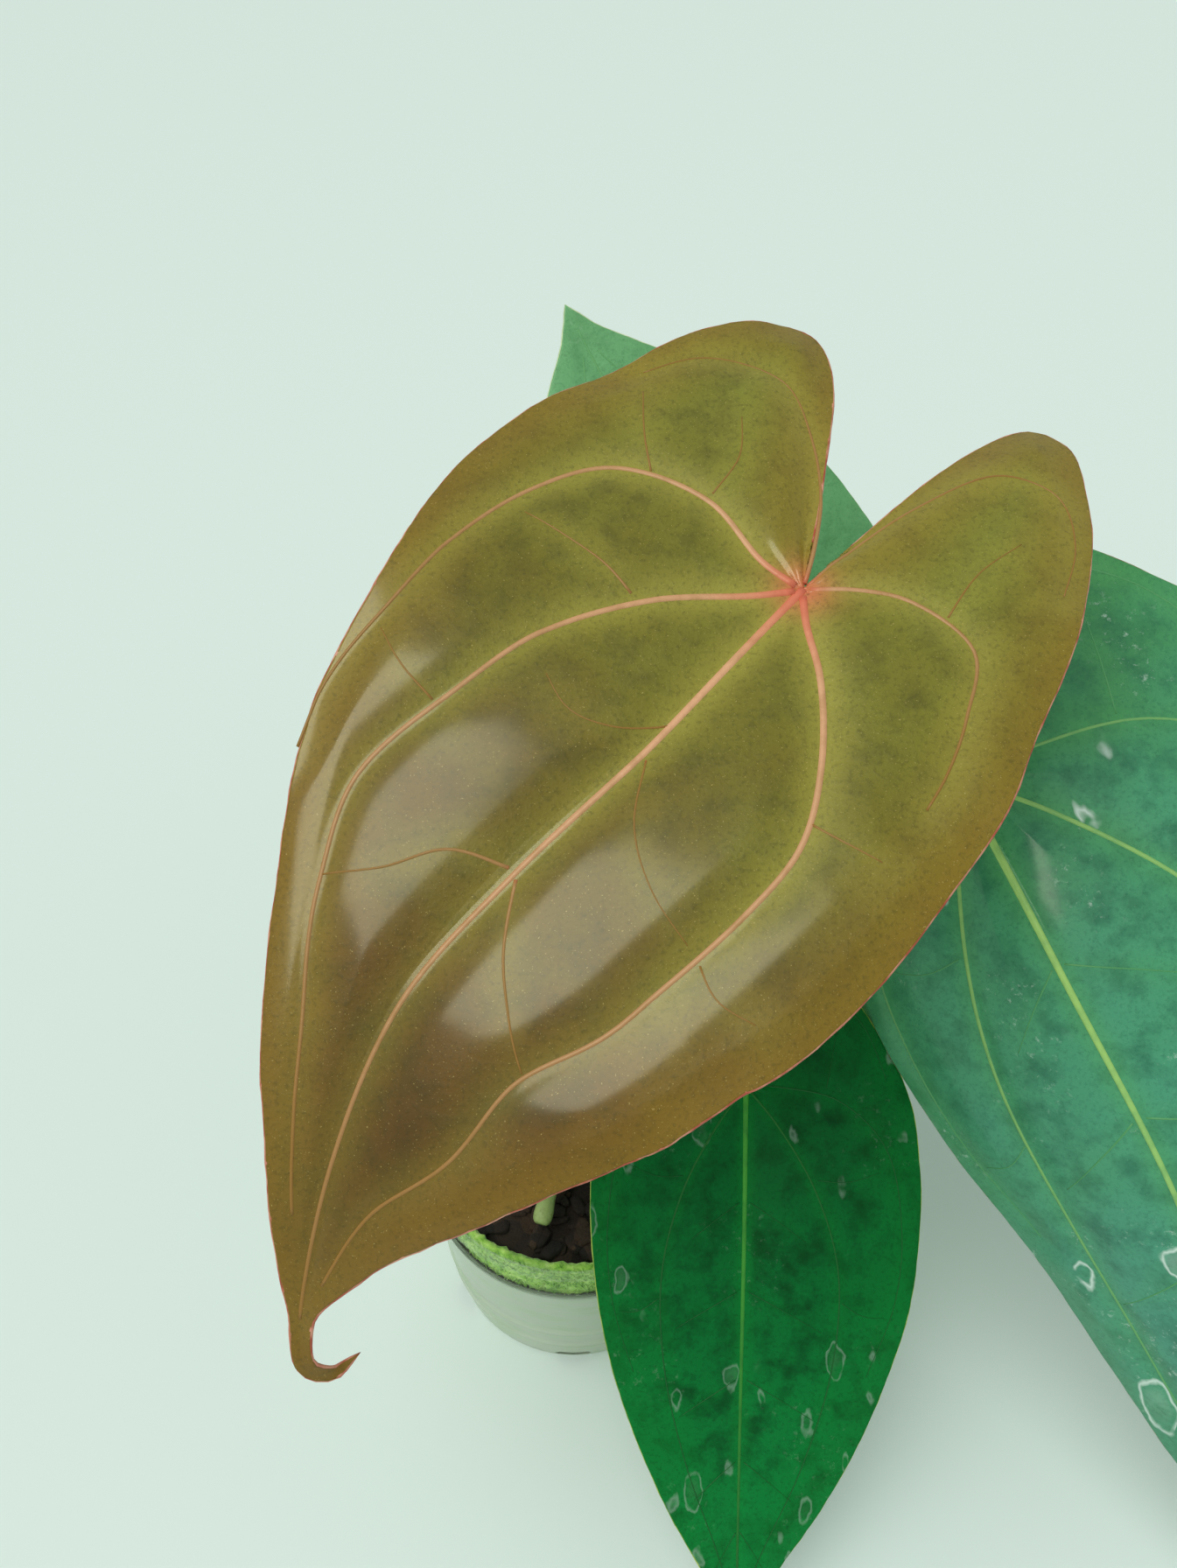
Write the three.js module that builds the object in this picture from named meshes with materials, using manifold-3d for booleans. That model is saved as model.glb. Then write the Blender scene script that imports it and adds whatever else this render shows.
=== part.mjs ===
// A small velvety anthurium with four heart-shaped leaves, in a clear tapered cup.
// Millimetres, +Z up; the cup stands on z = 0 with its axis on the Z axis.
import * as THREE from 'three';
import { mergeVertices } from 'three/addons/utils/BufferGeometryUtils.js';
import Module from 'manifold-3d';

const wasm = await Module();
wasm.setup();

// Cup
const cupHeight = 62;
const cupRimRadius = 44; // outside, at the top, without the bead
const cupBaseRadius = 37; // outside, at the bottom
const cupWall = 0.9;
const cupFloor = 1.4;
const rimBead = 1.1; // how far the rolled rim stands out from the wall
const ribHeights = [0.16, 0.3, 0.86]; // shallow rings, as shares of the cup's height
const ribDepth = 0.6;
const drainSlots = 6;
const drainRadius = 1.6;
const drainLength = 7;

// What fills the cup
const fitGap = 0.3; // between pieces that touch
const headSpace = 4; // from the potting mix up to the rim
const mossDepth = 12.5;
const mossWidth = 13;
const mossCover = 2.2; // potting mix lying on the moss

// Stem, roots and leaf stalks
const stemRadius = 7.5;
const stemRise = 10; // above the potting mix
const stemDepth = 16; // below the potting mix
const stalkRadius = 1.9;
const stalkCircle = 4.3; // radius of the circle that the stalks stand on
const jointSwell = 0.55; // the thicker joint under each blade
const rootRadius = 1.5;
const sheathLength = 27;
const sheathWidth = 9;
const bladeThickness = 0.8;

// The crown, from which every leaf is placed
const mixTop = cupHeight - headSpace;
const crown = mixTop + stemRise;

// Half outlines of a blade: [degrees from the tip, reach as a share of the length].
const matureHalf = [
  [0, 1], [2, 0.955], [6, 0.9], [12, 0.835], [21, 0.75], [34, 0.63], [50, 0.52], [70, 0.44], [92, 0.39],
  [112, 0.37], [130, 0.37], [146, 0.375], [158, 0.35], [166, 0.25], [170, 0.13], [172, 0.05],
];
const shortLobeHalf = [
  [0, 1], [2, 0.94], [6, 0.87], [12, 0.79], [21, 0.69], [34, 0.58], [50, 0.48], [70, 0.4], [92, 0.345],
  [112, 0.3], [130, 0.285], [146, 0.28], [158, 0.25], [166, 0.17], [170, 0.09], [172, 0.04],
];
// The rear leaf's inner half: as broad at the tip, with the short lobe.
const innerHalf = [...matureHalf.slice(0, 8), ...shortLobeHalf.slice(8)];
const newBroadHalf = [
  [0, 1], [0.4, 0.955], [0.5, 0.915], [0.65, 0.89], [1.3, 0.86], [2.9, 0.8], [5, 0.73], [7.6, 0.675],
  [10.4, 0.625], [15, 0.575], [24, 0.52], [40, 0.45], [60, 0.4], [84, 0.36], [104, 0.338], [122, 0.355],
  [134, 0.36], [143, 0.34], [147, 0.27], [148.5, 0.14], [150, 0.05],
];
const newNarrowHalf = [
  [0, 1], [0.55, 0.955], [0.7, 0.915], [0.95, 0.887], [2.2, 0.862], [5.2, 0.816], [10, 0.768], [16, 0.72],
  [22, 0.67], [32, 0.55], [46, 0.44], [60, 0.355], [76, 0.305], [96, 0.268], [120, 0.27], [140, 0.298],
  [156, 0.335], [168, 0.365], [175, 0.345], [178.5, 0.23], [179.5, 0.07],
];

// Each leaf: the line of its midrib from the stalk to the tip, the way its face looks at both
// ends, how its halves fold and arch, and the way its stalk climbs. Points are from the crown.
const leaves = {
  new: {
    midrib: [
      [45, 0, 169], [16, -26, 155], [-11, -46, 141], [-29, -63, 126], [-40, -82, 105], [-46, -99, 78],
      [-45, -102, 73], [-41, -101.5, 69.5], [-37, -98.5, 70],
    ],
    face: [[-0.15, -0.55, 0.82], [-0.15, -0.75, 0.64]],
    halves: [newBroadHalf, newNarrowHalf],
    widths: [1, 1],
    fold: 0.1,
    arch: -0.17,
    lobeDroop: 0.3,
    stalk: [[-9, -4, 40], [-11, -2, 85], [2, 0, 130], [30, 3, 157]],
    foot: 180,
    color: '#7d6a2c',
  },
  right: {
    midrib: [[88, 9, 115], [106, -29, 91], [129, -61, 57], [149, -83, 14], [171, -110, -48]],
    face: [[-0.5, -0.6, 0.63], [-0.45, -0.75, 0.5]],
    halves: [shortLobeHalf, shortLobeHalf],
    widths: [0.57, 0.9],
    fold: -0.3,
    arch: -0.5,
    lobeDroop: 0,
    stalk: [[18, -3, 12], [40, -10, 25], [69, 2, 50], [92, 14, 88]],
    foot: 0,
    color: '#3f7f5c',
  },
  front: {
    midrib: [[43, -21, 42], [42, -45, 21], [41, -73, -12], [40, -109, -57]],
    face: [[0, -0.3, 0.95], [0, -0.8, 0.5]],
    halves: [shortLobeHalf, shortLobeHalf],
    widths: [0.74, 0.84],
    fold: 0.12,
    arch: -0.3,
    lobeDroop: 0,
    stalk: [[6, -8, 10], [20, -12, 22], [38, -14, 30]],
    foot: 270,
    color: '#1c6b34',
  },
  rear: {
    midrib: [[66, 30, 48], [48, 75, 86], [24, 110, 136], [-2, 135, 178]],
    face: [[0.1, -0.6, 0.8], [0, -0.7, 0.7]],
    halves: [matureHalf, innerHalf],
    widths: [0.85, 0.95],
    fold: 0.05,
    arch: -0.2,
    lobeDroop: 0,
    stalk: [[8, 12, 10], [30, 34, 24], [55, 44, 34]],
    foot: 90,
    color: '#5d9a6b',
  },
};

// Each root: the way it points in degrees, then points of [out from the stem, height from the crown].
const roots = [
  [254.5, [2.9, -3], [11.2, -3], [18.3, -4.8], [24, -7]],
  [156, [3.3, -4.3], [13.1, -4.3], [22, -6.2], [26.5, -7.9]],
  [323, [3.3, -5], [14.7, -5.4], [23.9, -7], [28.1, -8]],
];
const sheathAngles = [104, 176, 250];

const v3 = (p) => new THREE.Vector3(...p);
const smoothCurve = (points) => new THREE.CatmullRomCurve3(points, false, 'centripetal');

function closedGeometry(positions, triangles) {
  const g = new THREE.BufferGeometry();
  g.setAttribute('position', new THREE.Float32BufferAttribute(positions, 3));
  g.setIndex(triangles);
  return g;
}

function toSolid(geometry) {
  const g = geometry.clone();
  g.deleteAttribute('normal');
  g.deleteAttribute('uv');
  const merged = mergeVertices(g, 1e-4);
  return new wasm.Manifold(new wasm.Mesh({
    numProp: 3,
    vertProperties: new Float32Array(merged.attributes.position.array),
    triVerts: new Uint32Array(merged.index.array),
  }));
}

function fromSolid(solid) {
  const m = solid.getMesh();
  return closedGeometry(m.vertProperties, Array.from(m.triVerts));
}

// A profile of [radius, height] points turned about the Z axis.
function turned(profile, segments) {
  const points = profile.map(([r, z]) => new THREE.Vector2(r, z));
  const g = new THREE.LatheGeometry(points, segments);
  g.rotateX(Math.PI / 2);
  return g;
}

// A round bar along a curve, with its radius as a function of the share of the way along.
function bar(curve, radiusAt, steps, sides) {
  const frames = curve.computeFrenetFrames(steps, false);
  const positions = [];
  const triangles = [];
  for (let i = 0; i <= steps; i += 1) {
    const c = curve.getPointAt(i / steps);
    const r = radiusAt(i / steps);
    for (let j = 0; j < sides; j += 1) {
      const a = (2 * Math.PI * j) / sides;
      const p = c.clone();
      p.addScaledVector(frames.normals[i], r * Math.cos(a));
      p.addScaledVector(frames.binormals[i], r * Math.sin(a));
      positions.push(p.x, p.y, p.z);
    }
  }
  for (let i = 0; i < steps; i += 1) {
    for (let j = 0; j < sides; j += 1) {
      const k = (j + 1) % sides;
      const a = i * sides;
      const b = a + sides;
      triangles.push(a + j, a + k, b + j, a + k, b + k, b + j);
    }
  }
  const first = curve.getPointAt(0);
  const last = curve.getPointAt(1);
  const start = positions.length / 3;
  positions.push(first.x, first.y, first.z, last.x, last.y, last.z);
  for (let j = 0; j < sides; j += 1) {
    const k = (j + 1) % sides;
    triangles.push(start, k, j, start + 1, steps * sides + j, steps * sides + k);
  }
  return closedGeometry(positions, triangles);
}

// The surface of a blade: its midrib line carries a frame, and a point is set off to the side.
class BladeSurface {
  constructor(points, face, fold, arch, lobeDroop) {
    this.line = smoothCurve(points);
    this.line.arcLengthDivisions = 400;
    this.length = this.line.getLength();
    this.face = face.map(v3);
    Object.assign(this, { fold, arch, lobeDroop });
  }

  frameAt(along) {
    const u = THREE.MathUtils.clamp(along, 0, 1);
    const centre = this.line.getPointAt(u);
    const ahead = this.line.getTangentAt(u);
    centre.addScaledVector(ahead, (along - u) * this.length);
    const up = this.face[0].clone().lerp(this.face[1], u).normalize();
    up.addScaledVector(ahead, -up.dot(ahead)).normalize();
    const across = new THREE.Vector3().crossVectors(ahead, up);
    return { centre, up, across };
  }

  // across and along are shares of the length; lift is in millimetres.
  pointAt(across, along, lift) {
    const f = this.frameAt(along);
    const behind = Math.max(-along, 0);
    const bulge = this.fold * Math.abs(across) + this.arch * across ** 2 - this.lobeDroop * behind ** 2;
    f.centre.addScaledVector(f.across, across * this.length);
    return f.centre.addScaledVector(f.up, bulge * this.length + lift);
  }
}

const bladeDetail = { rings: [0.14, 0.32, 0.5, 0.67, 0.81, 0.91, 0.97, 1], steps: 24 };
const sheathDetail = { rings: [0.3, 0.6, 0.85, 1], steps: 8 };

function halfOutline(half, side, width, steps) {
  const toPoint = ([deg, reach]) => new THREE.Vector3(THREE.MathUtils.degToRad(deg), reach, 0);
  const curve = smoothCurve(half.map(toPoint));
  const rays = [];
  for (let i = 0; i <= steps; i += 1) {
    const p = curve.getPoint(i / steps);
    rays.push([side * width * p.y * Math.sin(p.x), p.y * Math.cos(p.x)]);
  }
  return rays;
}

// A blade is a thin closed skin on rays that fan out from the stalk's joint.
function bladeGeometry(surface, halves, widths, detail = bladeDetail) {
  const ringShares = detail.rings;
  const rays = [
    ...halfOutline(halves[0], 1, widths[0], detail.steps).reverse(),
    ...halfOutline(halves[1], -1, widths[1], detail.steps).slice(1),
  ];
  const n = rays.length;
  const positions = [];
  const triangles = [];
  const layers = [bladeThickness / 2, -bladeThickness / 2];
  for (const lift of layers) {
    positions.push(...surface.pointAt(0, 0, lift).toArray());
    for (const share of ringShares) {
      for (const [x, y] of rays) positions.push(...surface.pointAt(x * share, y * share, lift).toArray());
    }
  }
  const rings = ringShares.length;
  const layerSize = 1 + rings * n;
  const at = (layer, ring, ray) => layer * layerSize + (ring < 0 ? 0 : 1 + ring * n + ray);
  const push = (flip, a, b, c) => (flip ? triangles.push(a, b, c) : triangles.push(a, c, b));
  for (const layer of [0, 1]) {
    for (let j = 0; j < n - 1; j += 1) {
      push(layer === 0, at(layer, -1), at(layer, 0, j), at(layer, 0, j + 1));
      for (let i = 0; i < rings - 1; i += 1) {
        push(layer === 0, at(layer, i, j), at(layer, i + 1, j), at(layer, i + 1, j + 1));
        push(layer === 0, at(layer, i, j), at(layer, i + 1, j + 1), at(layer, i, j + 1));
      }
    }
  }
  const edge = [];
  for (let i = -1; i < rings; i += 1) edge.push([i, 0]);
  for (let j = 1; j < n; j += 1) edge.push([rings - 1, j]);
  for (let i = rings - 2; i >= 0; i -= 1) edge.push([i, n - 1]);
  edge.forEach(([i, j], k) => {
    const [p, q] = edge[(k + 1) % edge.length];
    push(false, at(0, i, j), at(1, p, q), at(1, i, j));
    push(false, at(0, i, j), at(0, p, q), at(1, p, q));
  });
  return closedGeometry(positions, triangles);
}

const group = new THREE.Group();

function addPiece(name, geometry, color, roughness, extra = {}) {
  if (!geometry.attributes.normal) geometry.computeVertexNormals();
  const material = new THREE.MeshStandardMaterial({ color, roughness, metalness: 0, ...extra });
  const mesh = new THREE.Mesh(geometry, material);
  mesh.name = name;
  group.add(mesh);
}

// The cup's outer radius at a height.
const cupRadiusAt = (z) => cupBaseRadius + ((cupRimRadius - cupBaseRadius) * z) / cupHeight;
const insideRadiusAt = (z) => cupRadiusAt(z) - cupWall;

function cupGeometry() {
  const outside = [[0, 0], [cupBaseRadius - 1, 0], [cupBaseRadius, 1]];
  for (const share of ribHeights) {
    const z = share * cupHeight;
    outside.push([cupRadiusAt(z - 2), z - 2], [cupRadiusAt(z) + ribDepth, z], [cupRadiusAt(z + 2), z + 2]);
  }
  outside.push(
    [cupRadiusAt(cupHeight - 3), cupHeight - 3],
    [cupRimRadius + rimBead, cupHeight - 2.4],
    [cupRimRadius + rimBead, cupHeight - 0.6],
    [cupRimRadius + rimBead - 0.6, cupHeight],
  );
  const inside = [
    [cupRimRadius - cupWall, cupHeight],
    [insideRadiusAt(cupFloor), cupFloor],
    [0, cupFloor],
  ];
  let cup = toSolid(turned([...outside, ...inside], 72));
  for (let i = 0; i < drainSlots; i += 1) {
    const slot = new THREE.CapsuleGeometry(drainRadius, drainLength, 4, 10);
    slot.translate(cupBaseRadius - 1, 0, 0);
    slot.rotateZ((2 * Math.PI * (i + 0.5)) / drainSlots);
    slot.translate(0, 0, drainRadius + cupFloor * 0.4);
    cup = cup.subtract(toSolid(slot));
  }
  return fromSolid(cup);
}

const mossTop = mixTop - mossCover;
const mossBottom = mossTop - mossDepth;
const mixSkinRadius = (z) => insideRadiusAt(z) - fitGap;
const mixFloor = cupFloor + fitGap;
const mossInner = insideRadiusAt(mossTop) - mossWidth;

addPiece('cup', cupGeometry(), '#dfe8dc', 0.35, { transparent: true, opacity: 0.45 });

addPiece('potting_mix', turned([
  [0, mixFloor],
  [mixSkinRadius(mixFloor), mixFloor],
  [mixSkinRadius(mossBottom), mossBottom],
  [mossInner, mossBottom],
  [mossInner, mossTop + fitGap],
  [mixSkinRadius(mossTop), mossTop + fitGap],
  [mixSkinRadius(mixTop) - 1.5, mixTop - 0.6],
  [stemRadius * 2.4, mixTop - 0.2],
  [stemRadius + fitGap, mixTop],
  [stemRadius + fitGap, mixTop - stemDepth - fitGap],
  [0, mixTop - stemDepth - fitGap],
], 48), '#33261a', 0.95);

addPiece('moss_collar', turned([
  [mossInner + fitGap, mossBottom + fitGap],
  [mixSkinRadius(mossBottom + fitGap), mossBottom + fitGap],
  [mixSkinRadius(mossTop), mossTop],
  [mossInner + fitGap, mossTop],
  [mossInner + fitGap, mossBottom + fitGap],
], 48), '#86ad5e', 1);

const stemBottom = mixTop - stemDepth;
addPiece('stem', turned([
  [0, stemBottom],
  [stemRadius - 2, stemBottom],
  [stemRadius, stemBottom + 2],
  [stemRadius, mixTop + 3],
  [stemRadius - 0.8, mixTop + 4.5],
  [stemRadius, mixTop + 6],
  [stemRadius, mixTop + 9],
  [stemRadius - 0.8, mixTop + 10.5],
  [stemRadius, crown - 2],
  [stemRadius - 0.6, crown],
  [0, crown],
], 28), '#6f7a45', 0.8);

for (const [name, leaf] of Object.entries(leaves)) {
  const midrib = leaf.midrib.map(([x, y, z]) => new THREE.Vector3(x, y, crown + z));
  const surface = new BladeSurface(midrib, leaf.face, leaf.fold, leaf.arch, leaf.lobeDroop);
  const { centre, up } = surface.frameAt(0);
  const under = bladeThickness / 2 + fitGap + 0.2;
  const end = centre.clone().addScaledVector(up, -under);
  const lead = centre.clone().addScaledVector(up, -under - 4 * stalkRadius);
  const turn = THREE.MathUtils.degToRad(leaf.foot);
  const foot = new THREE.Vector3(stalkCircle * Math.cos(turn), stalkCircle * Math.sin(turn), crown + fitGap);
  const rise = foot.clone().setZ(foot.z + 4);
  const climb = leaf.stalk.map(([x, y, z]) => new THREE.Vector3(x, y, crown + z));
  const path = smoothCurve([foot, rise, ...climb, lead, end]);
  const joint = 6 * stalkRadius / path.getLength();
  const radiusAt = (u) => {
    const swell = jointSwell * Math.exp(-(((1 - u - joint * 0.6) / (joint * 0.5)) ** 2));
    const flare = 0.35 * Math.exp(-u * 14);
    const tip = u > 0.995 ? 0.45 : 1;
    return (stalkRadius * (1 - 0.18 * u) + flare + swell) * tip;
  };
  addPiece(`petiole_${name}`, bar(path, radiusAt, 34, 10), '#7c8a48', 0.7);
  addPiece(`blade_${name}`, bladeGeometry(surface, leaf.halves, leaf.widths), leaf.color, 0.55);
}

roots.forEach(([deg, ...points], i) => {
  const a = THREE.MathUtils.degToRad(deg);
  const path = smoothCurve(points.map(([out, z]) => (
    new THREE.Vector3((stemRadius + out) * Math.cos(a), (stemRadius + out) * Math.sin(a), crown + z)
  )));
  const radiusAt = (u) => rootRadius * (u > 0.97 ? 0.6 : 1) + (i === 0 ? 0.7 * Math.max(0, u - 0.5) : 0);
  addPiece(`aerial_root_${i + 1}`, bar(path, radiusAt, 16, 10), '#8a9a55', 0.6);
});

sheathAngles.forEach((deg, i) => {
  const a = THREE.MathUtils.degToRad(deg);
  const out = new THREE.Vector3(Math.cos(a), Math.sin(a), 0);
  const at = (r, z) => out.clone().multiplyScalar(r).setZ(crown + z);
  const near = stemRadius + fitGap + bladeThickness;
  const points = [
    at(near, -7),
    at(near + 0.6, 0),
    at(near + 2.4, sheathLength * 0.4),
    at(near + 7, sheathLength - 9),
  ];
  const face = [[-out.x, -out.y, 0.1], [-out.x, -out.y, 0.3]];
  const surface = new BladeSurface(points, face, 0, 2.2, 0);
  const share = sheathWidth / 2 / surface.length;
  const half = [
    [0, 1], [6, 0.8], [14, 0.55], [30, share * 2], [60, share * 1.12], [90, share], [120, share * 0.7],
    [150, 0.08],
  ];
  addPiece(`cataphyll_${i + 1}`, bladeGeometry(surface, [half, half], [1, 1], sheathDetail), '#9a8a55', 0.85);
});

export default group;
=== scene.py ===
import math
import random
from functools import partial

import bmesh
import bpy
import numpy as np
from mathutils import Matrix, Vector


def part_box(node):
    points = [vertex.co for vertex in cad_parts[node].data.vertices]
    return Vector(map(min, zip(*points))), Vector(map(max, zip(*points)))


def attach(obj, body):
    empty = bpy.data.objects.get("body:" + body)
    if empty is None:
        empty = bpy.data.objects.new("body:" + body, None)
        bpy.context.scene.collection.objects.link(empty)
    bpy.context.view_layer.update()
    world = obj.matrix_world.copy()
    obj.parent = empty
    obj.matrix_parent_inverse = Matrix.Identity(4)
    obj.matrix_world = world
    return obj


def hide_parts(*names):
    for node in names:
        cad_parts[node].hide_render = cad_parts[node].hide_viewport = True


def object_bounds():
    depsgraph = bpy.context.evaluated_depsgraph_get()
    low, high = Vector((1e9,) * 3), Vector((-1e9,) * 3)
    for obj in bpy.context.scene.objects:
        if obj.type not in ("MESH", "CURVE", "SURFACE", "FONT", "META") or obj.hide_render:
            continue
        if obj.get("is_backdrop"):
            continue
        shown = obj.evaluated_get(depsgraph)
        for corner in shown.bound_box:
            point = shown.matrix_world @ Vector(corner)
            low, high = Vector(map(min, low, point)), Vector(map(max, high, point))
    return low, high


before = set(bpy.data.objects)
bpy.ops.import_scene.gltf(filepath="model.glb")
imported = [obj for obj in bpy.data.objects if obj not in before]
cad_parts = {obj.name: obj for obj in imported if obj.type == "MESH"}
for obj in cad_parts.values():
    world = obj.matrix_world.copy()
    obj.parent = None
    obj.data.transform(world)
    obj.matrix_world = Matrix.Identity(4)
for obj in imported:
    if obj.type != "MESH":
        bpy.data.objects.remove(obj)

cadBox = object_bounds()
mm = 0.001
rng = random.Random(11)
crown = round(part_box("stem")[1][2] / mm, 2)  # height of the stem's top, where the stalks start
mixTop = round(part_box("potting_mix")[1][2] / mm, 2)
print("frame loaded, crown at", crown, "mix top at", mixTop)


def toLinear(hexColor):
    parts = [int(hexColor[i:i + 2], 16) / 255 for i in (1, 3, 5)]
    return (*[p / 12.92 if p <= 0.04045 else ((p + 0.055) / 1.055) ** 2.4 for p in parts], 1.0)


# Sets a node's inputs: a socket is linked, a hex colour is turned to linear, anything else is set.
def setInputs(tree, node, inputs):
    for key, value in inputs.items() if isinstance(inputs, dict) else enumerate(inputs):
        if isinstance(value, bpy.types.NodeSocket):
            tree.links.new(value, node.inputs[key])
        else:
            node.inputs[key].default_value = toLinear(value) if isinstance(value, str) else value


# Adds a node with its settings and links. Inputs go by name, by number or in order.
def addNode(tree, kind, inputs=(), out=0, colors=(), **settings):
    node = tree.nodes.new("ShaderNode" + kind)
    for key, value in settings.items():
        setattr(node, key, value)
    if colors:  # of a ramp, spread evenly
        elements = node.color_ramp.elements
        while len(elements) < len(colors):
            elements.new(0.5)
        for i, (element, color) in enumerate(zip(elements, colors)):
            element.position = i / (len(colors) - 1)
            element.color = toLinear(color)
    setInputs(tree, node, inputs)
    return node.outputs[out]


# A material, what adds a node to it, and what sets its surface.
def newMaterial(name):
    material = bpy.data.materials.new(name)
    material.use_nodes = True
    tree = material.node_tree
    surface = next(n for n in tree.nodes if n.type == "BSDF_PRINCIPLED")
    return material, partial(addNode, tree), partial(setInputs, tree, surface)


def unit(vectors):
    return vectors / np.linalg.norm(vectors, axis=-1, keepdims=True)


# Points of a centripetal Catmull-Rom curve through the given ones.
def smoothLine(points, perSpan=24):
    points = np.asarray(points, float)
    ends = np.vstack([2 * points[0] - points[1], points, 2 * points[-1] - points[-2]])
    out = []
    for p0, p1, p2, p3 in zip(ends, ends[1:], ends[2:], ends[3:]):
        t01, t12, t23 = (max(np.linalg.norm(b - a) ** 0.5, 1e-9) for a, b in ((p0, p1), (p1, p2), (p2, p3)))
        m1 = p2 - p1 + t12 * ((p1 - p0) / t01 - (p2 - p0) / (t01 + t12))
        m2 = p2 - p1 + t12 * ((p3 - p2) / t23 - (p3 - p1) / (t12 + t23))
        a = 2 * (p1 - p2) + m1 + m2
        b = -3 * (p1 - p2) - 2 * m1 - m2
        for t in np.arange(perSpan) / perSpan:
            out.append(((a * t + b) * t + m1) * t + p1)
    return np.array(out + [points[-1]])


# Points at shares of a line's length, and that length.
def alongLine(line, shares):
    reach = np.concatenate([[0], np.cumsum(np.linalg.norm(np.diff(line, axis=0), axis=1))])
    return np.stack([np.interp(shares, reach / reach[-1], column) for column in line.T], 1), reach[-1]


def newObject(mesh, name, *materials):
    data = bpy.data.meshes.new(name)
    bmesh.ops.recalc_face_normals(mesh, faces=mesh.faces)
    mesh.to_mesh(data)
    mesh.free()
    data.shade_smooth()
    for material in materials:
        data.materials.append(material)
    obj = bpy.data.objects.new(name, data)
    bpy.context.scene.collection.objects.link(obj)
    return obj


def place(obj, node):
    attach(obj, "root")
    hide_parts(node)


# Adds a round closed bar to a mesh. Rows are centre points; side and up are the directions of the
# section; widthAt and heights give its half width and its reach up and down, in mm, at each row.
def addBar(mesh, layers, rows, side, up, width, rise, drop, sides=8):
    count = len(rows) - 1
    made = bmesh.ops.create_grid(mesh, x_segments=sides, y_segments=count, size=0.5)["verts"]
    for vert in made:
        turn = 2 * math.pi * (vert.co.x + 0.5)
        row = round((vert.co.y + 0.5) * count)
        tall = rise[row] if math.sin(turn) > 0 else drop[row]
        point = rows[row] + side[row] * width[row] * math.cos(turn) + up[row] * tall * math.sin(turn)
        vert.co = Vector(point * mm)
        vert[layers["crest"]] = math.sin(turn)
        vert[layers["run"]] = row / count
    return made


def barMesh():
    mesh = bmesh.new()
    return mesh, {key: mesh.verts.layers.float.new(key) for key in ("crest", "run")}


# A round bar along a smooth line through the points, with its radius by the share along it.
def bar(points, radiusAt, steps, sides, name, material):
    rows, _ = alongLine(smoothLine(points), np.linspace(0, 1, steps + 1))
    ahead = unit(np.gradient(rows, axis=0))
    side = [np.cross(ahead[0], [0.3, 0.9, 0.1])]
    for direction in ahead:
        side.append(unit(side[-1] - direction * side[-1].dot(direction)))
    side = np.array(side[1:])
    radius = np.array([radiusAt(u) for u in np.linspace(0, 1, steps + 1)])
    radius[0] = radius[-1] = 0
    rows[0], rows[-1] = rows[1], rows[-2]
    mesh, layers = barMesh()
    addBar(mesh, layers, rows, side, np.cross(ahead, side), radius, radius, radius, sides)
    bmesh.ops.remove_doubles(mesh, verts=mesh.verts, dist=1e-7)
    return newObject(mesh, name, material)


# A [radius, height] profile in mm turned about the Z axis.
def lathe(profile, steps, name, material, shapeAt=None):
    mesh = bmesh.new()
    verts = [mesh.verts.new((r * mm, 0, z * mm)) for r, z in profile]
    edges = [mesh.edges.new(pair) for pair in zip(verts, verts[1:])]
    bmesh.ops.spin(mesh, geom=verts + edges, cent=(0, 0, 0), axis=(0, 0, 1), angle=2 * math.pi,
                   steps=steps, use_merge=True, use_duplicate=False)
    bmesh.ops.remove_doubles(mesh, verts=mesh.verts, dist=1e-6)
    for vert in mesh.verts:
        if shapeAt:
            vert.co = shapeAt(vert.co)
    return newObject(mesh, name, material)


# Leaf blades. An outline is [degrees from the tip, reach as a share of the length].
broadTip = [[0, 1], [2, 0.955], [6, 0.9], [12, 0.835], [21, 0.75], [34, 0.63], [50, 0.52], [70, 0.44]]
shortLobe = [[92, 0.345], [112, 0.3], [130, 0.285], [146, 0.28], [158, 0.25], [166, 0.17], [170, 0.09],
             [172, 0.04]]
outlines = {
    "mature": broadTip + [[92, 0.39], [112, 0.37], [130, 0.37], [146, 0.375], [158, 0.35], [166, 0.25],
                          [170, 0.13], [172, 0.05]],
    "short": [[0, 1], [2, 0.94], [6, 0.87], [12, 0.79], [21, 0.69], [34, 0.58], [50, 0.48],
              [70, 0.4]] + shortLobe,
    "inner": broadTip + shortLobe,
    "newBroad": [[0, 1], [0.4, 0.955], [0.5, 0.915], [0.65, 0.89], [1.3, 0.86], [2.9, 0.8], [5, 0.73],
                 [7.6, 0.675], [10.4, 0.625], [15, 0.575], [24, 0.52], [40, 0.45], [60, 0.4], [84, 0.36],
                 [104, 0.338], [122, 0.355], [134, 0.36], [143, 0.34], [147, 0.27], [148.5, 0.14],
                 [150, 0.05]],
    "newNarrow": [[0, 1], [0.55, 0.955], [0.7, 0.915], [0.95, 0.887], [2.2, 0.862], [5.2, 0.816],
                  [10, 0.768], [16, 0.72], [22, 0.67], [32, 0.55], [46, 0.44], [60, 0.355], [76, 0.305],
                  [96, 0.268], [120, 0.27], [140, 0.298], [156, 0.335], [168, 0.365], [175, 0.345],
                  [178.5, 0.23], [179.5, 0.07]],
}

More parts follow.
